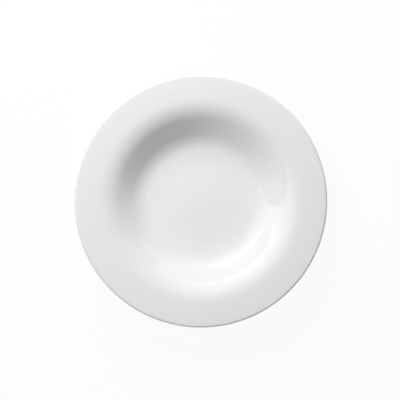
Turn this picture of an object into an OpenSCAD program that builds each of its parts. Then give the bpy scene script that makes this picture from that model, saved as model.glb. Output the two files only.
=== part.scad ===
// Deep pasta plate with a broad, softly curved rim.
// One porcelain body is turned about the Z axis and stands on Z = 0. A clear glaze covers it
// as two coats that never meet, because the standing edge of the foot ring is left bare.
// Every outline lies in the radius-height plane, and sizes are those of the glazed plate.

/* [Plate] */
// Diameter over the lip
plate_d = 300; // [270:1:320]
// Height from the table to the top of the lip
plate_h = 42; // [38:0.5:48]
// Thickness of the wall and the rim
wall_t = 5; // [4:0.25:6]

/* [Rim] */
// Width of the rim, from the shoulder to the lip
rim_w = 27; // [18:0.5:36]
// Slope of the rim where it leaves the shoulder, in degrees
rim_start_angle = 5; // [4:0.5:8]
// Slope of the rim where it reaches the lip, in degrees
rim_end_angle = 2.5; // [0:0.5:3.5]
// Radius of the shoulder that bends the wall into the rim
shoulder_r = 41; // [30:1:46]

/* [Well] */
// Steepest slope of the wall, in degrees
wall_angle = 40; // [35:0.5:45]
// Radius of the bend at the foot of the wall
knuckle_r = 33; // [22:1:40]
// Slope at which the dished floor runs into that bend, in degrees
dish_angle = 6.5; // [4:0.5:9]
// Radius of the dished ring around the flat middle of the floor
dish_r = 175; // [120:5:215]
// Thickness of the floor in its flat middle
floor_t = 4.5; // [3.5:0.25:6]

/* [Foot ring] */
// Distance of the ring's outer flank from the edge of the flat middle
foot_reach = 30; // [22:0.5:36]
// Width of the foot ring
foot_w = 6; // [4.5:0.25:8]
// Depth of the recess inside the foot ring
foot_recess = 4.5; // [3.5:0.25:6]
// Radius of the two corners of the standing edge
foot_edge_r = 1; // [0.6:0.1:1.4]
// Radius of the fillets that join the foot ring to the plate
foot_fillet_r = 3; // [1.5:0.25:4]

/* [Glaze] */
// Thickness of the glaze
glaze_t = 0.3; // [0.2:0.05:0.4]
// Height of the bare flank between the rounded standing edge and the glaze
bare_band = 0.6; // [0.3:0.1:1]
// Least straight run of glaze between the bare flank and the inner fillet
glaze_land = 0.3; // [0.2:0.1:0.6]

/* [Hidden] */

// Fineness of the turned surfaces and of the arcs in the outlines, in degrees
$fn = 180;
arc_step = 5;

// Height of the flat middle of the floor, and of the glaze's edge on the foot ring
floor_z = foot_recess + floor_t;
bare_h = foot_edge_r + bare_band;

// Lip: a full round between the two faces of the rim
lip_r = wall_t / 2;
lip_c = [plate_d / 2 - lip_r, plate_h - lip_r];

// Upper face, worked out from the lip inwards: rim, shoulder, wall, knuckle, dish and floor
rim_end = lip_c + lip_r * up(rim_end_angle);
rim_r = rim_w / (sin(rim_start_angle) - sin(rim_end_angle));
rim_c = rim_end - rim_r * up(rim_end_angle);
rim_start = rim_c + rim_r * up(rim_start_angle);
shoulder_c = rim_start - shoulder_r * up(rim_start_angle);
wall_top = shoulder_c + shoulder_r * up(wall_angle);
wall_foot_z = floor_z + dish_r * (1 - cos(dish_angle))
    + knuckle_r * (cos(dish_angle) - cos(wall_angle));
wall_foot = [wall_top.x - (wall_top.y - wall_foot_z) / tan(wall_angle), wall_foot_z];
knuckle_c = wall_foot + knuckle_r * up(wall_angle);
dish_end = knuckle_c - knuckle_r * up(dish_angle);
dish_c = dish_end + dish_r * up(dish_angle);
floor_r = dish_c.x;

// Foot ring: its two flanks, and the centres of the fillets beside them
foot_out_r = floor_r + foot_reach;
foot_in_r = foot_out_r - foot_w;
outer_fillet_x = foot_out_r + glaze_t + foot_fillet_r;
outer_fillet_depth = wall_t + foot_fillet_r;
outer_fillet_slope = slope_at(outer_fillet_x, outer_fillet_depth);
outer_fillet_c = [outer_fillet_x, face_z(outer_fillet_x, outer_fillet_depth)];
inner_fillet_r = min(foot_fillet_r, foot_recess - bare_h - glaze_land);
inner_fillet_c = [foot_in_r - glaze_t - inner_fillet_r, foot_recess - inner_fillet_r];

// Unit normal that points up out of a face with this slope
function up(slope) = [-sin(slope), cos(slope)];

function reversed(points) = [for (i = [len(points) - 1:-1:0]) points[i]];

function tail(points) = [for (i = [1:len(points) - 1]) points[i]];

// Points along an arc, from one angle to another
function arc(centre, radius, from, to) =
    let (steps = max(2, ceil(abs(to - from) / arc_step)))
    [for (i = [0:steps])
        let (a = from + (to - from) * i / steps)
        centre + radius * [cos(a), sin(a)]];

// Radii at which the dish and the knuckle end, on the line this deep below the upper face
function dish_end_x(depth) = floor_r + (dish_r + depth) * sin(dish_angle);
function knuckle_end_x(depth) =
    dish_end_x(depth) + (knuckle_r + depth) * (sin(wall_angle) - sin(dish_angle));

// Slope and height of that line at radius x, from the middle of the floor to the wall
function slope_at(x, depth) =
    x <= floor_r ? 0
    : x <= dish_end_x(depth) ? asin((x - floor_r) / (dish_r + depth))
    : x <= knuckle_end_x(depth) ? asin(sin(dish_angle) + (x - dish_end_x(depth)) / (knuckle_r + depth))
    : wall_angle;
function face_z(x, depth) =
    let (slope = slope_at(x, depth))
    x <= dish_end_x(depth) ? dish_c.y - (dish_r + depth) * cos(slope)
    : knuckle_c.y - (knuckle_r + depth) * cos(slope)
        + max(0, x - knuckle_end_x(depth)) * tan(wall_angle);

// The line this deep below the upper face, from the axis to the lip
function face_line(depth) = concat(
    [[0, floor_z - depth]],
    arc(dish_c, dish_r + depth, -90, dish_angle - 90),
    tail(arc(knuckle_c, knuckle_r + depth, dish_angle - 90, wall_angle - 90)),
    arc(shoulder_c, shoulder_r - depth, 90 + wall_angle, 90 + rim_start_angle),
    tail(arc(rim_c, rim_r - depth, 90 + rim_start_angle, 90 + rim_end_angle)));

// The line this deep in the glazed skin: across the well, over the lip, and under the plate to
// the foot ring's outer flank
function outer_skin(depth) =
    let (fillet = arc(outer_fillet_c, foot_fillet_r + depth, 90 + outer_fillet_slope, 180),
         under = reversed(face_line(wall_t - depth)))
    concat(
        face_line(depth),
        tail(arc(lip_c, lip_r - depth, 90 + rim_end_angle, rim_end_angle - 90)),
        [for (p = tail(under)) if (p.x > fillet[0].x + glaze_t) p],
        fillet);

// The line this deep in the skin of the recess, from the axis to the foot ring's inner flank
function recess_skin(depth) = concat(
    [[0, foot_recess + depth]],
    arc(inner_fillet_c, inner_fillet_r + depth, 90, 0));

// The bare standing edge, from the outer flank to the inner one
function standing_edge() = concat(
    arc([foot_out_r - foot_edge_r, foot_edge_r], foot_edge_r, 0, -90),
    arc([foot_in_r + foot_edge_r, foot_edge_r], foot_edge_r, -90, -180));

// Porcelain under the glaze, with its foot ring
module porcelain_body() {
    color("linen")
    rotate_extrude()
    polygon(concat(outer_skin(glaze_t), standing_edge(), reversed(recess_skin(glaze_t))));
}

// Glaze over the well, the rim, the lip and the outside
module glaze_coat() {
    color("white")
    rotate_extrude()
    polygon(concat(
        outer_skin(0),
        [[foot_out_r + glaze_t, bare_h], [foot_out_r, bare_h]],
        reversed(outer_skin(glaze_t))));
}

// Glaze over the recess inside the foot ring
module foot_well_glaze() {
    color("white")
    rotate_extrude()
    polygon(concat(
        recess_skin(0),
        [[foot_in_r - glaze_t, bare_h], [foot_in_r, bare_h]],
        reversed(recess_skin(glaze_t))));
}

porcelain_body();
glaze_coat();
foot_well_glaze();
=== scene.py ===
import math
import bpy
import numpy as np
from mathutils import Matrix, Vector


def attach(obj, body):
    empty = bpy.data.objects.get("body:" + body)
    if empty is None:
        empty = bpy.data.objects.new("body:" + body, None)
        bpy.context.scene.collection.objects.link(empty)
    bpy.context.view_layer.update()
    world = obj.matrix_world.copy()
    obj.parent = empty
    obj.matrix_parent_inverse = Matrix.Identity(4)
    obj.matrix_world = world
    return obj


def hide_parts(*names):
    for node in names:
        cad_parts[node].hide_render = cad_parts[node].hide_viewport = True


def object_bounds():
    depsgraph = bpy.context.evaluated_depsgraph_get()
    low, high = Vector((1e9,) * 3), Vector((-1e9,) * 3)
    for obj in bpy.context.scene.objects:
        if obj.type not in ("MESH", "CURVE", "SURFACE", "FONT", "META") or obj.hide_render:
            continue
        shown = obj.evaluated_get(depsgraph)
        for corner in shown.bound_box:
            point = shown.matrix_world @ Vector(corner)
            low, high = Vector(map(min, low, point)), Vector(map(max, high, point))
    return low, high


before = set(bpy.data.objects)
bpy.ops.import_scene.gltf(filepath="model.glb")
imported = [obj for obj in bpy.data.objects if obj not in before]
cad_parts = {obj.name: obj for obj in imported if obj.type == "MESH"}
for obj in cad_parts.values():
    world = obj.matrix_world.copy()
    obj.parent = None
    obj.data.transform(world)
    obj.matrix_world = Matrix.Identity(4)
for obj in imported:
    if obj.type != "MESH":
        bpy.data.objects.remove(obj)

# Deep pasta plate of glazed white porcelain, turned about Z and standing on Z = 0. Metres and degrees.

cadLow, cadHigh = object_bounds()
print("frame loaded, box", [round(side, 4) for side in cadHigh - cadLow])

# the plate's outline: overall sizes from the frame, the rest as the solids have them
plate = dict(
    radius=(cadHigh.x - cadLow.x) / 2,
    height=cadHigh.z,
    wall=0.005,            # thickness of wall and rim
    rimWidth=0.027,
    rimStart=5.0,          # slope where the rim leaves the shoulder
    rimEnd=2.5,            # slope where it reaches the lip
    shoulder=0.041,        # bend radii
    knuckle=0.033,
    dish=0.175,
    wallSlope=40.0,
    dishSlope=6.5,         # slope where the dish meets the knuckle
    floorThick=0.0045,
    footReach=0.030,       # foot ring's outer flank, from the edge of the flat floor
    footWidth=0.006,
    footRecess=0.0045,
    footEdge=0.001,        # rounding of the standing edge
    footFillet=0.003,
    glaze=0.0003,          # thickness of both coats
    bareBand=0.0006,       # unglazed flank above the rounded standing edge
    glazeLand=0.0003,      # least flank kept for the glaze's toe below the recess's fillet
    soften=0.005,          # reach to each side over which one bend runs into the next
    segments=256,          # squares round the plate
    faceRings=64,          # rings of the grid on each stretch of the outline
    lipRings=8,
    underRings=28,
    filletRings=4,
    recessRings=12,
    edgeRings=9,
    toeRings=6,
    seenFine=2,            # times these rings on a coat's outer skin
    hiddenFine=1,          # and where coat and body meet
    sharpAngle=50.0,       # an edge that turns by more than this stays sharp
)

# what the kiln does to a turned plate: the rim sags a little, the floor keeps a slight crown, and the glaze's
# edge wavers on the foot ring
firing = dict(
    rimWaves=((2, 0.6, 0.00012), (3, -1.1, 0.00008)),    # times round, phase, height at the lip
    edgeWaves=((3, 0.4, 0.00005), (7, 1.9, 0.00005), (17, 4.0, 0.00003)),
    crownSlope=1.0,        # fall of the floor outwards from its middle, which stands a little proud
    crownSpan=(0.6, 0.9),  # shares of the flat floor's radius between which that fall is full
)


def arcLine(centre, radius, startAngle, endAngle, count):
    # round stretch: centre plus radius times (cosine, sine) of evenly spaced angles
    angles = np.radians(np.linspace(startAngle, endAngle, count))
    return np.stack([centre[0] + radius * np.cos(angles), centre[1] + radius * np.sin(angles)], axis=1)


def spread(line, count, bendWeight=0.02):
    # same line with count points, evenly spaced along length plus bendWeight times the angle turned
    step = np.diff(line, axis=0)
    heading = np.unwrap(np.arctan2(step[:, 1], step[:, 0]))
    turned = np.abs(np.gradient(heading))
    walk = np.concatenate([[0.0], np.cumsum(np.hypot(step[:, 0], step[:, 1]) + bendWeight * turned)])
    stops = np.linspace(0.0, walk[-1], count)
    return np.stack([np.interp(stops, walk, line[:, 0]), np.interp(stops, walk, line[:, 1])], axis=1)


def upperFace(p, f, samples=1201):
    # radius, height and slope of the upper face: on each bend the sine of the slope grows evenly with
    # the radius, so the sine is straight lines between the bends' ends, averaged under a bell; height
    # sums the slope's tangent from the middle of the floor, which the crown lifts over the floor's edge,
    # and is stretched to end at the lip
    slopes = {name: math.radians(p[name]) for name in ("dishSlope", "wallSlope", "rimStart", "rimEnd")}
    sine = {name: math.sin(angle) for name, angle in slopes.items()}
    cosine = {name: math.cos(angle) for name, angle in slopes.items()}
    lip = p["wall"] / 2
    rimEndHeight = p["height"] - lip + lip * cosine["rimEnd"]
    floorHeight = p["footRecess"] + p["floorThick"]
    rimRise = p["rimWidth"] * math.tan((slopes["rimStart"] + slopes["rimEnd"]) / 2)
    shoulderRise = p["shoulder"] * (cosine["rimStart"] - cosine["wallSlope"])
    knuckleRise = p["knuckle"] * (cosine["dishSlope"] - cosine["wallSlope"])
    dishRise = p["dish"] * (1 - cosine["dishSlope"])
    wallRise = rimEndHeight - floorHeight - rimRise - shoulderRise - knuckleRise - dishRise
    rimEndAt = p["radius"] - lip - lip * sine["rimEnd"]
    rimStartAt = rimEndAt - p["rimWidth"]
    wallTopAt = rimStartAt - p["shoulder"] * (sine["wallSlope"] - sine["rimStart"])
    wallFootAt = wallTopAt - wallRise / math.tan(slopes["wallSlope"])
    dishEndAt = wallFootAt - p["knuckle"] * (sine["wallSlope"] - sine["dishSlope"])
    floorEndAt = dishEndAt - p["dish"] * sine["dishSlope"]
    fallFrom, fallTo = (floorEndAt * share for share in f["crownSpan"])
    fall = -math.sin(math.radians(f["crownSlope"]))
    bendEnds = (
        (0.0, 0.0),
        (fallFrom, fall),
        (fallTo, fall),
        (floorEndAt, 0.0),
        (dishEndAt, sine["dishSlope"]),
        (wallFootAt, sine["wallSlope"]),
        (wallTopAt, sine["wallSlope"]),
        (rimStartAt, sine["rimStart"]),
        (rimEndAt, sine["rimEnd"]),
    )
    radius = np.linspace(0.0, rimEndAt, samples)
    step = radius[1]
    half = max(1, round(p["soften"] / step))
    bell = np.hanning(2 * half + 3)[1:-1]    # raised cosine without the zero at each end
    padded = np.pad(np.interp(radius, *zip(*bendEnds)), half, mode="edge")
    slope = np.arcsin(np.convolve(padded, bell / bell.sum(), mode="valid"))
    climb = np.tan(slope)
    height = np.concatenate([[0.0], np.cumsum((climb[1:] + climb[:-1]) / 2) * step])
    floorMiddle = floorHeight - height.min()
    height = floorMiddle + height * (rimEndHeight - floorMiddle) / height[-1]
    return dict(radius=radius, height=height, slope=slope, floorEnd=floorEndAt)


# lines that the three pieces share
face = upperFace(plate, firing)
footOut = face["floorEnd"] + plate["footReach"]
footIn = footOut - plate["footWidth"]
print("outline: flat floor to radius", round(face["floorEnd"], 5))
print("foot ring from radius", round(footIn, 5), "to", round(footOut, 5))


def faceLine(depth):
    # line this deep below the upper face: each point moved back along its normal
    slope = face["slope"]
    return np.stack([face["radius"] + depth * np.sin(slope), face["height"] - depth * np.cos(slope)], axis=1)


def outerSkin(p, depth, fine):
    # across the well, over the lip and under the plate, this deep in the glaze, to the foot ring's fillet
    lip = p["wall"] / 2
    lipCentre = (p["radius"] - lip, p["height"] - lip)
    filletAt = footOut + p["glaze"] + p["footFillet"]
    parallel = faceLine(p["wall"] + p["footFillet"])
    filletHeight = np.interp(filletAt, parallel[:, 0], parallel[:, 1])
    filletSlope = math.degrees(np.interp(filletAt, parallel[:, 0], face["slope"]))
    filletCount = p["filletRings"] * fine + 1
    fillet = arcLine((filletAt, filletHeight), p["footFillet"] + depth, 90 + filletSlope, 180, filletCount)
    under = faceLine(p["wall"] - depth)[::-1]
    under = under[under[:, 0] > fillet[0, 0]]
    lipCount = p["lipRings"] * fine + 1
    return np.concatenate([
        spread(faceLine(depth), p["faceRings"] * fine),
        arcLine(lipCentre, lip - depth, 90 + p["rimEnd"], p["rimEnd"] - 90, lipCount)[1:-1],
        spread(under, p["underRings"] * fine),
        fillet[1:],
    ])


def recessSkin(p, depth, fine):
    # across the recess inside the foot ring, this deep in its glaze, and round its fillet
    bend = min(p["footFillet"], p["footRecess"] - p["footEdge"] - p["bareBand"] - p["glazeLand"])
    centre = (footIn - p["glaze"] - bend, p["footRecess"] - bend)
    flat = np.linspace(0.0, centre[0], p["recessRings"] * fine)[:-1]
    return np.concatenate([
        np.stack([flat, np.full_like(flat, p["footRecess"] + depth)], axis=1),
        arcLine(centre, bend + depth, 90, 0, p["filletRings"] * fine + 1),
    ])


def toeLine(p, flank, startAngle, endAngle):
    # rounded end of a coat on a flank of the foot ring: an arc whose radius is the glaze's thickness and
    # whose lowest point is the top of the bare band
    centre = (flank, p["footEdge"] + p["bareBand"] + p["glaze"])
    return arcLine(centre, p["glaze"], startAngle, endAngle, p["toeRings"])


def poolingOf(line, reach=0.004, fullTurn=60.0, leastStep=1e-7):
    # how deep the glaze lies: line's turn per metre, averaged over reach to each side, as a share of
    # fullTurn; hollows positive, edges negative
    step = np.diff(line, axis=0)
    length = np.maximum(np.hypot(step[:, 0], step[:, 1]), leastStep)
    heading = np.unwrap(np.arctan2(step[:, 1], step[:, 0]))
    at = np.concatenate([[0.0], np.cumsum(length)])
    headingAt = np.interp(at, (at[1:] + at[:-1]) / 2, heading)
    ahead = np.interp(at + reach, at, headingAt)
    behind = np.interp(at - reach, at, headingAt)
    return np.clip((ahead - behind) / (2 * reach) / fullTurn, -1.0, 1.0)


def waves(table, turn):
    # sum of low waves round the plate, each height times the cosine of so many turns plus its phase
    counts, phases, heights = (np.array(column) for column in zip(*table))
    return np.cos(np.multiply.outer(turn, counts) + phases) @ heights


def turnedPoints(p, f, line, sway):
    # line carried round Z: x = r cos a, y = r sin a, z = height plus the rim's waves, which grow with the
    # square of the way from foot ring to lip, plus sway times the edge's waves; then a pole for each end
    around = np.linspace(0.0, 2 * math.pi, p["segments"], endpoint=False)
    ring, level = line[1:-1, 0], line[1:-1, 1]
    beyond = np.clip((ring - footOut) / (p["radius"] - footOut), 0.0, None) ** 2
    x = np.outer(ring, np.cos(around))
    y = np.outer(ring, np.sin(around))
    z = level[:, None] + np.outer(beyond, waves(f["rimWaves"], around))
    z += np.outer(sway[1:-1], waves(f["edgeWaves"], around))
    poles = np.array([[0.0, 0.0, line[0, 1]], [0.0, 0.0, line[-1, 1]]])
    return np.concatenate([np.stack([x, y, z], axis=2).reshape(-1, 3), poles])


def turnedPiece(name, p, f, line, sway, pooling):
    # closed skin of a turned line: a square between each two rings and turns, and a fan at each pole
    rings, turns = len(line) - 2, p["segments"]
    here = np.arange(rings * turns).reshape(rings, turns)
    ahead = np.roll(here, -1, axis=1)
    quads = np.stack([here[:-1], here[1:], ahead[1:], ahead[:-1]], axis=-1).reshape(-1, 4)
    firstPole, lastPole = rings * turns, rings * turns + 1
    firstFan = np.stack([np.full(turns, firstPole), here[0], ahead[0]], axis=1)
    lastFan = np.stack([np.full(turns, lastPole), ahead[-1], here[-1]], axis=1)
    mesh = bpy.data.meshes.new(name)
    faces = quads.tolist() + firstFan.tolist() + lastFan.tolist()
    mesh.from_pydata(turnedPoints(p, f, line, sway).tolist(), [], faces)
    depth = mesh.attributes.new("glazePooling", "FLOAT", "POINT")
    depth.data.foreach_set("value", np.concatenate([np.repeat(pooling[1:-1], turns), pooling[[0, -1]]]))
    mesh.shade_smooth()
    mesh.set_sharp_from_angle(angle=math.radians(p["sharpAngle"]))
    mesh.validate()
    piece = bpy.data.objects.new(name, mesh)
    bpy.context.collection.objects.link(piece)
    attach(piece, "root")
    print("made", name, len(mesh.polygons), "faces")
    return piece


mixColours = dict(first=6, second=7, result=2)    # colour sockets of a mix node, whose names aren't unique


def addNode(tree, kind, **inputs):
    # one node, with its inputs set by name
    node = tree.nodes.new(kind)
    for label, value in inputs.items():
        node.inputs[label.replace("_", " ")].default_value = value
    return node


def noiseField(tree, place, size, detail):
    # soft noise whose features are about this long, in metres
    noise = addNode(tree, "ShaderNodeTexNoise", Scale=1 / size, Detail=detail)
    tree.links.new(place.outputs["Object"], noise.inputs["Vector"])
    return noise.outputs["Fac"]


def ranged(tree, field, low, high, toLow, toHigh):
    # field from low to high, laid evenly onto toLow to toHigh and held at both ends
    rangeNode = addNode(tree, "ShaderNodeMapRange", From_Min=low, From_Max=high, To_Min=toLow, To_Max=toHigh)
    tree.links.new(field, rangeNode.inputs["Value"])
    return rangeNode.outputs["Result"]


def tinted(tree, share, colour, other):
    # one colour, going over to the other by share
    mix = tree.nodes.new("ShaderNodeMix")
    mix.data_type = "RGBA"
    tree.links.new(share, mix.inputs["Factor"])
    for end, value in (("first", colour), ("second", other)):
        socket = mix.inputs[mixColours[end]]
        if isinstance(value, bpy.types.NodeSocket):
            tree.links.new(value, socket)
        else:
            socket.default_value = (*value, 1.0)
    return mix.outputs[mixColours["result"]]


def bumped(tree, layers):
    # surface relief: each layer is a field and its height in metres
    normal = None
    for field, height in layers:
        bump = addNode(tree, "ShaderNodeBump", Strength=1.0, Distance=height)
        tree.links.new(field, bump.inputs["Height"])
        if normal is not None:
            tree.links.new(normal, bump.inputs["Normal"])
        normal = bump.outputs["Normal"]
    return normal


def newMaterial(name):
    # material with its nodes, its main shader and a source of Object coordinates
    material = bpy.data.materials.new(name)
    material.use_nodes = True
    tree = material.node_tree
    shader = tree.nodes["Principled BSDF"]
    place = tree.nodes.new("ShaderNodeTexCoord")
    return material, tree, shader, place


# glossy glaze over white porcelain
glazeFinish = dict(
    white=(0.87, 0.87, 0.865),
    pooled=(0.845, 0.85, 0.848),   # cooler where it lies deep in the hollows
    thin=(0.875, 0.868, 0.855),    # warmer where it runs off the edges
    cloud=(0.862, 0.863, 0.86),
    cloudSize=0.045,
    cloudDetail=2.0,
    cloudSpan=(0.4, 0.65),         # noise between which the clouds come in
    roughness=(0.03, 0.05),
    roughSize=0.02,
    roughDetail=3.0,
    roughSpan=(0.3, 0.7),          # noise between which the gloss grows dull
    ior=1.5,
    wavesSize=0.03,                # slow unevenness of the fired glaze
    wavesHeight=0.00003,
    peelSize=0.0022,               # fine ripple, as of an orange's skin
    peelHeight=0.000002,
    reliefDetail=1.0,
)


def glazeMaterial(finish):
    # white that goes over to the tint of its clouds, hollows and edges, with uneven gloss and two reliefs
    material, tree, shader, place = newMaterial("glossyGlaze")
    pooling = tree.nodes.new("ShaderNodeAttribute")
    pooling.attribute_name = "glazePooling"
    deep = ranged(tree, pooling.outputs["Fac"], 0.0, 1.0, 0.0, 1.0)
    edge = ranged(tree, pooling.outputs["Fac"], 0.0, -1.0, 0.0, 1.0)
    clouds = noiseField(tree, place, finish["cloudSize"], finish["cloudDetail"])
    cloudy = ranged(tree, clouds, *finish["cloudSpan"], 0.0, 1.0)
    colour = tinted(tree, cloudy, finish["white"], finish["cloud"])
    colour = tinted(tree, deep, colour, finish["pooled"])
    colour = tinted(tree, edge, colour, finish["thin"])
    tree.links.new(colour, shader.inputs["Base Color"])
    dull = noiseField(tree, place, finish["roughSize"], finish["roughDetail"])
    rough = ranged(tree, dull, *finish["roughSpan"], *finish["roughness"])
    tree.links.new(rough, shader.inputs["Roughness"])
    shader.inputs["IOR"].default_value = finish["ior"]
    slow = noiseField(tree, place, finish["wavesSize"], finish["reliefDetail"])
    peel = noiseField(tree, place, finish["peelSize"], finish["reliefDetail"])
    relief = bumped(tree, [(slow, finish["wavesHeight"]), (peel, finish["peelHeight"])])
    tree.links.new(relief, shader.inputs["Normal"])
    return material


# bare standing edge, ground on the wheel
bareFinish = dict(
    clay=(0.80, 0.775, 0.73),
    worn=(0.66, 0.64, 0.60),
    wornSize=0.006,
    wornDetail=3.0,
    wornSpan=(0.45, 0.75),         # noise between which the stains come in
    wornMost=0.8,                  # share of the worn colour where they are darkest
    roughness=(0.62, 0.8),
    roughSpan=(0.3, 0.7),          # grain between which it roughens
    grainSize=0.0006,
    grainDetail=4.0,
    grainHeight=0.00004,
    ringStep=0.0009,               # spacing of the grinding rings
    ringPhase=20.0,                # phase that a wave texture of scale 1 runs through in a metre
    ringDistortion=0.6,
    ringDetail=2.0,
    ringHeight=0.000015,
)


def bareMaterial(finish):
    # clay that goes over to its stains, matt by its grain, with rings round Z a full turn of phase apart
    material, tree, shader, place = newMaterial("barePorcelain")
    grain = noiseField(tree, place, finish["grainSize"], finish["grainDetail"])
    stains = noiseField(tree, place, finish["wornSize"], finish["wornDetail"])
    stained = ranged(tree, stains, *finish["wornSpan"], 0.0, finish["wornMost"])
    tree.links.new(tinted(tree, stained, finish["clay"], finish["worn"]), shader.inputs["Base Color"])
    rough = ranged(tree, grain, *finish["roughSpan"], *finish["roughness"])
    tree.links.new(rough, shader.inputs["Roughness"])
    rings = addNode(
        tree,
        "ShaderNodeTexWave",
        Scale=2 * math.pi / finish["ringPhase"] / finish["ringStep"],
        Distortion=finish["ringDistortion"],
        Detail=finish["ringDetail"],
    )
    rings.wave_type = "RINGS"
    rings.rings_direction = "Z"
    tree.links.new(place.outputs["Object"], rings.inputs["Vector"])
    relief = bumped(tree, [(grain, finish["grainHeight"]), (rings.outputs["Fac"], finish["ringHeight"])])
    tree.links.new(relief, shader.inputs["Normal"])
    return material


glaze = glazeMaterial(glazeFinish)
bare = bareMaterial(bareFinish)
print("materials ready")


def coatOutline(p):
    # outer skin, its toe on the foot ring's outer flank, then inner skin, with sway and pooling along them
    skin = outerSkin(p, 0.0, p["seenFine"])
    toe = toeLine(p, footOut, 0, -90)
    inner = outerSkin(p, p["glaze"], p["hiddenFine"])[::-1]
    outer = np.concatenate([skin, toe])
    sway = np.concatenate([np.zeros(len(skin)), np.ones(len(toe)), np.zeros(len(inner))])
    pooling = np.concatenate([poolingOf(outer), np.zeros(len(inner))])
    return np.concatenate([outer, inner]), sway, pooling


# coat over well, rim, lip and outside
coat = turnedPiece("glazeCoat", plate, firing, *coatOutline(plate))
coat.data.materials.append(glaze)
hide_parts("glaze_coat")


def wellOutline(p):
    # inner skin of the recess's coat, then its toe on the foot ring's inner flank and its outer skin
    skin = recessSkin(p, 0.0, p["seenFine"])
    toe = toeLine(p, footIn, 180, 270)
    inner = recessSkin(p, p["glaze"], p["hiddenFine"])
    outer = np.concatenate([skin, toe])[::-1]
    sway = np.concatenate([np.zeros(len(inner)), np.ones(len(toe)), np.zeros(len(skin))])
    pooling = np.concatenate([np.zeros(len(inner)), poolingOf(outer)])
    return np.concatenate([inner, outer]), sway, pooling


# coat over the recess inside the foot ring
footWell = turnedPiece("footWellGlaze", plate, firing, *wellOutline(plate))
footWell.data.materials.append(glaze)
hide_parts("foot_well_glaze")


def bodyOutline(p):
    # porcelain under both coats, with the rounded standing edge between them; no sway and no pooling
    edge = p["footEdge"]
    line = np.concatenate([
        outerSkin(p, p["glaze"], p["hiddenFine"]),
        arcLine((footOut - edge, edge), edge, 0, -90, p["edgeRings"]),
        arcLine((footIn + edge, edge), edge, -90, -180, p["edgeRings"]),
        recessSkin(p, p["glaze"], p["hiddenFine"])[::-1],
    ])
    return line, np.zeros(len(line)), np.zeros(len(line))


# fired body under both coats, with its bare standing edge
body = turnedPiece("porcelainBody", plate, firing, *bodyOutline(plate))
body.data.materials.append(bare)
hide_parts("porcelain_body")

# camera straight above, on a long lens; the frame is square and the plate sits a little off its middle
view = dict(
    frameWidth=0.4747,             # width that the frame takes in at the lip
    distance=1.5,
    sensor=36.0,
    offRight=-0.00095,
    offUp=0.00142,
)
camera = bpy.data.objects.new("overheadCamera", bpy.data.cameras.new("overheadCamera"))
bpy.context.collection.objects.link(camera)
lipLevel = plate["height"] - plate["wall"] / 2
camera.location = (view["offRight"], view["offUp"], lipLevel + view["distance"])
camera.data.sensor_width = view["sensor"]
camera.data.lens = view["sensor"] * view["distance"] / view["frameWidth"]
bpy.context.scene.camera = camera

# soft light on the plate: three scrims of one size and distance, and an even fill
light = dict(
    distance=1.20,
    width=0.42,
    height=0.30,
    scrims=dict(                   # azimuth counter-clockwise from +X, elevation, radiance
        keyScrim=(120.0, 36.0, 24.8),
        sideScrim=(90.0, 26.0, 9.5),
        topScrim=(225.0, 65.0, 6.7),
    ),
    airFill=0.2,                   # strength of the light from all round
)
plainWhite = (1.0, 1.0, 1.0, 1.0)


def placeAround(distance, turn, tilt):
    # point this far from the middle of the lip's level, turned about Z and tilted up from there
    level = distance * math.cos(tilt)
    return level * math.cos(turn), level * math.sin(turn), distance * math.sin(tilt) + lipLevel


def aimedScrim(s, name, azimuth, elevation, radiance):
    # rectangle of light that faces the plate from this direction; its power is radiance times pi times area
    lamp = bpy.data.lights.new(name, "AREA")
    lamp.shape = "RECTANGLE"
    lamp.size, lamp.size_y = s["width"], s["height"]
    lamp.energy = radiance * math.pi * s["width"] * s["height"]
    turn, tilt = math.radians(azimuth), math.radians(elevation)
    scrim = bpy.data.objects.new(name, lamp)
    scrim.location = placeAround(s["distance"], turn, tilt)
    scrim.rotation_euler = (math.radians(90) - tilt, 0.0, turn + math.radians(90))
    # the scrims stay out of the glaze's reflections; the painted-reflection sheets below stand in for them
    # there
    scrim.visible_glossy = False   # the glaze mirrors the room's own sheets instead
    bpy.context.collection.objects.link(scrim)


for name, place in light["scrims"].items():
    aimedScrim(light, name, *place)
print("camera and scrims ready")


def worked(tree, operation, *fields):
    # one calculation with one or two fields
    mathNode = tree.nodes.new("ShaderNodeMath")
    mathNode.operation = operation
    for field, socket in zip(fields, mathNode.inputs):
        tree.links.new(field, socket)
    return mathNode.outputs["Value"]


def largest(tree, field, *others):
    # largest of several fields
    for other in others:
        field = worked(tree, "MAXIMUM", field, other)
    return field


def seenDirectly(tree):
    # 1 for camera, glossy and transmission rays, 0 for the rays that light the object
    path = tree.nodes.new("ShaderNodeLightPath")
    return largest(tree, *(path.outputs[f"Is {kind} Ray"] for kind in ("Camera", "Glossy", "Transmission")))


# white room: plain white where it is seen, and only the fill where it lights the plate
world = bpy.data.worlds.new("whiteStudio")
bpy.context.scene.world = world
world.use_nodes = True
air = world.node_tree.nodes["Background"]
air.inputs["Color"].default_value = plainWhite
airStrength = ranged(world.node_tree, seenDirectly(world.node_tree), 0.0, 1.0, light["airFill"], 1.0)
world.node_tree.links.new(airStrength, air.inputs["Strength"])

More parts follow.
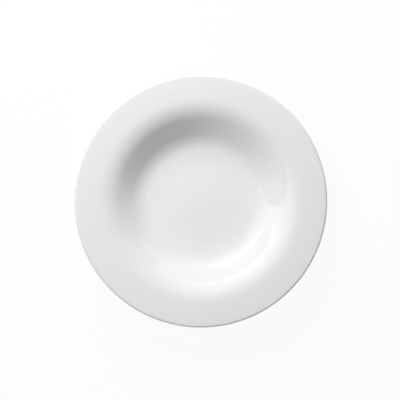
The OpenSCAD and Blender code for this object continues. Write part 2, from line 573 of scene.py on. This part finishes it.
# pale floor: seen directly it is mostly plain white and keeps some of the plate's shadow
floor = dict(
    halfWidth=4.0,
    gap=0.00005,                   # clearance under the foot ring
    colour=(0.9, 0.9, 0.9, 1.0),
    roughness=0.9,
    whiteShare=0.93,               # share of plain white where it is seen
)
floorMesh = bpy.data.meshes.new("paleFloor")
corners = np.array([[-1, -1], [1, -1], [1, 1], [-1, 1]]) * floor["halfWidth"]
floorPoints = np.column_stack([corners, np.full(len(corners), -floor["gap"])])
floorMesh.from_pydata(floorPoints.tolist(), [], [[0, 1, 2, 3]])
paleFloor = bpy.data.objects.new("paleFloor", floorMesh)
bpy.context.collection.objects.link(paleFloor)
floorMaterial, floorTree, floorShader, _ = newMaterial("paleFloor")
floorShader.inputs["Base Color"].default_value = floor["colour"]
floorShader.inputs["Roughness"].default_value = floor["roughness"]
whiteGlow = addNode(floorTree, "ShaderNodeEmission", Color=plainWhite, Strength=1.0)
floorMix = floorTree.nodes.new("ShaderNodeMixShader")
floorShare = ranged(floorTree, seenDirectly(floorTree), 0.0, 1.0, 0.0, floor["whiteShare"])
shareIn, litIn, whiteIn = floorMix.inputs
floorTree.links.new(floorShare, shareIn)
floorTree.links.new(floorShader.outputs["BSDF"], litIn)
floorTree.links.new(whiteGlow.outputs["Emission"], whiteIn)
floorTree.links.new(floorMix.outputs["Shader"], floorTree.nodes["Material Output"].inputs["Surface"])
floorMesh.materials.append(floorMaterial)
print("white room and floor ready")


# painted reflections: what the glaze mirrors besides the white room stands on flat glowing sheets that only
# glossy rays see, which go over to the white of the room towards their outer ends, so that no edge of them
# shows
def mirroredSheet(name, s):
    # plane square to this azimuth and tilt at this distance from the lip, which only glossy rays see, so that
    # its glow is a painted reflection;
    # its X runs right and its Y up the slope
    turn, lean = math.radians(s["azimuth"]), math.radians(s["tilt"])
    left, right = s["across"]
    low, high = s["along"]
    mesh = bpy.data.meshes.new(name)
    mesh.from_pydata([(left, low, 0), (right, low, 0), (right, high, 0), (left, high, 0)], [], [(0, 1, 2, 3)])
    sheet = bpy.data.objects.new(name, mesh)
    sheet.location = placeAround(s["distance"], turn, lean)
    sheet.rotation_euler = (math.radians(90) + lean, 0.0, turn - math.radians(90))
    sheet.visible_camera = False
    sheet.visible_diffuse = False
    sheet.visible_transmission = False
    sheet.visible_volume_scatter = False
    sheet.visible_shadow = False
    bpy.context.collection.objects.link(sheet)
    material, tree, shader, place = newMaterial(name)
    tree.nodes.remove(shader)
    axes = tree.nodes.new("ShaderNodeSeparateXYZ")
    tree.links.new(place.outputs["Object"], axes.inputs["Vector"])
    mesh.materials.append(material)
    return tree, axes.outputs["X"], axes.outputs["Y"]


def smoothStep(tree, field, start, end, fromValue, toValue):
    # goes from one value to the other by a smooth step while the field goes from start to end
    step = ranged(tree, field, start, end, fromValue, toValue)
    step.node.interpolation_type = "SMOOTHSTEP"
    return step


def overEdge(tree, x, y, riseFrom, riseTo, rise):
    # height over an edge that rises evenly between two places, by so much in all
    return worked(tree, "SUBTRACT", y, ranged(tree, x, riseFrom, riseTo, 0.0, rise))


def leaning(tree, field, start, rate):
    # rate for each metre that the field is past start, and as much below 0 before it
    lean = ranged(tree, field, start, start + 1.0, 0.0, rate)
    lean.node.clamp = False
    return lean


def glowing(tree, strength):
    # white glow of this strength, where 1 is white
    glow = addNode(tree, "ShaderNodeEmission", Color=plainWhite)
    tree.links.new(strength, glow.inputs["Strength"])
    tree.links.new(glow.outputs["Emission"], tree.nodes["Material Output"].inputs["Surface"])


# glowing sheet that only the glaze mirrors, which paints the reflection on the lit wall of the well: a
# painted highlight where its tall window glows, and a painted darker reflection where its dim wall glows
paintedReflectionSheet = dict(
    azimuth=128.0,
    tilt=25.0,
    distance=1.1,
    across=(-2.8, 2.2),            # left and right end, from the middle of the plate
    along=(-0.6, 1.7),             # lower and upper edge along the slope
    windowLeft=-1.15,              # left end of the window at its sill
    windowSill=-0.19,
    leftLean=0.2,                  # way that the left end goes further left for each metre up
    sillRise=(0.1, 1.1, 0.13),     # the sill rises between these two places, by so much in all
    frameSoft=0.004,               # half the width of the step at the window's edges
    # dim glow round the window: painted shade in the reflection, the streak and notch on the lit wall of the
    # well
    paintedShadeGlow=0.1,
    footFade=(-0.33, -0.45),       # heights between which the wall whitens downwards
    leftFade=(-1.15, -1.85),       # places between which the wall whitens to the left
    rightFade=(1.5, 2.2),          # and to the right
    # glow of the window itself over the white room: painted highlight in the reflection
    paintedHighlightGlow=0.7,                 # of the window over the white room
    headFade=(0.75, 1.05),         # heights between which the extra glow fades out
    headRise=(-0.2, -1.0, 0.5),    # these rise between two places, by so much in all
    endFade=(-0.4, 1.3),           # places between which it fades out to the right
)


def paintReflectionSheet(w):
    # painted reflection: inside the window 1 plus the extra glow times its fades upwards and to the right, a
    # painted highlight;
    # outside it the dim wall's glow, a painted shade, which grows to 1 towards both ends and the floor
    tree, x, y = mirroredSheet("paintedReflectionSheet", w)
    left, sill, soft = w["windowLeft"], w["windowSill"], w["frameSoft"]
    head = smoothStep(tree, overEdge(tree, x, y, *w["headRise"]), *w["headFade"], 1.0, 0.0)
    end = smoothStep(tree, x, *w["endFade"], 1.0, 0.0)
    extra = worked(tree, "MULTIPLY", head, end)
    opening = ranged(tree, extra, 0.0, 1.0, 1.0, 1.0 + w["paintedHighlightGlow"])
    whiterLeft = smoothStep(tree, x, *w["leftFade"], 0.0, 1.0)
    whiterRight = smoothStep(tree, x, *w["rightFade"], 0.0, 1.0)
    whiterFoot = smoothStep(tree, y, *w["footFade"], 0.0, 1.0)
    wall = ranged(tree, largest(tree, whiterLeft, whiterRight, whiterFoot), 0.0, 1.0, w["paintedShadeGlow"], 1.0)
    fromLeft = worked(tree, "ADD", x, leaning(tree, y, sill, w["leftLean"]))
    besideLeft = smoothStep(tree, fromLeft, left - soft, left + soft, 0.0, 1.0)
    overSill = overEdge(tree, x, y, *w["sillRise"])
    aboveSill = smoothStep(tree, overSill, sill - soft, sill + soft, 0.0, 1.0)
    inside = worked(tree, "MULTIPLY", besideLeft, aboveSill)
    lit = worked(tree, "MULTIPLY", worked(tree, "SUBTRACT", opening, wall), inside)
    glowing(tree, worked(tree, "ADD", wall, lit))


paintReflectionSheet(paintedReflectionSheet)

# grey sheet across from the window, which only the glaze mirrors: painted shade in the reflection that keeps
# the near wall of the well dark
shadeCard = dict(
    azimuth=-52.0,
    tilt=0.0,
    distance=1.3,
    across=(-1.9, 1.9),
    along=(-0.04, 1.16),
    shadeCardGlow=0.2,
    footFade=(0.17, 0.05),         # heights between which it whitens downwards
    sideFade=(0.57, 1.9),          # distances from its middle line between which it whitens
    headFade=(0.32, 1.16),         # heights between which it whitens upwards
)


def paintShadeCard(c):
    # painted shade in the reflection: glow grows from the card's to 1 by the largest of three smooth steps,
    # sideways, upwards and downwards
    tree, x, y = mirroredSheet("paintedShadeCard", c)
    whiterSides = smoothStep(tree, worked(tree, "ABSOLUTE", x), *c["sideFade"], 0.0, 1.0)
    whiterHead = smoothStep(tree, y, *c["headFade"], 0.0, 1.0)
    whiterFoot = smoothStep(tree, y, *c["footFade"], 0.0, 1.0)
    whiter = largest(tree, whiterSides, whiterHead, whiterFoot)
    glowing(tree, ranged(tree, whiter, 0.0, 1.0, c["shadeCardGlow"], 1.0))


paintShadeCard(shadeCard)
bpy.context.scene.view_settings.view_transform = "Standard"
print("studio ready")
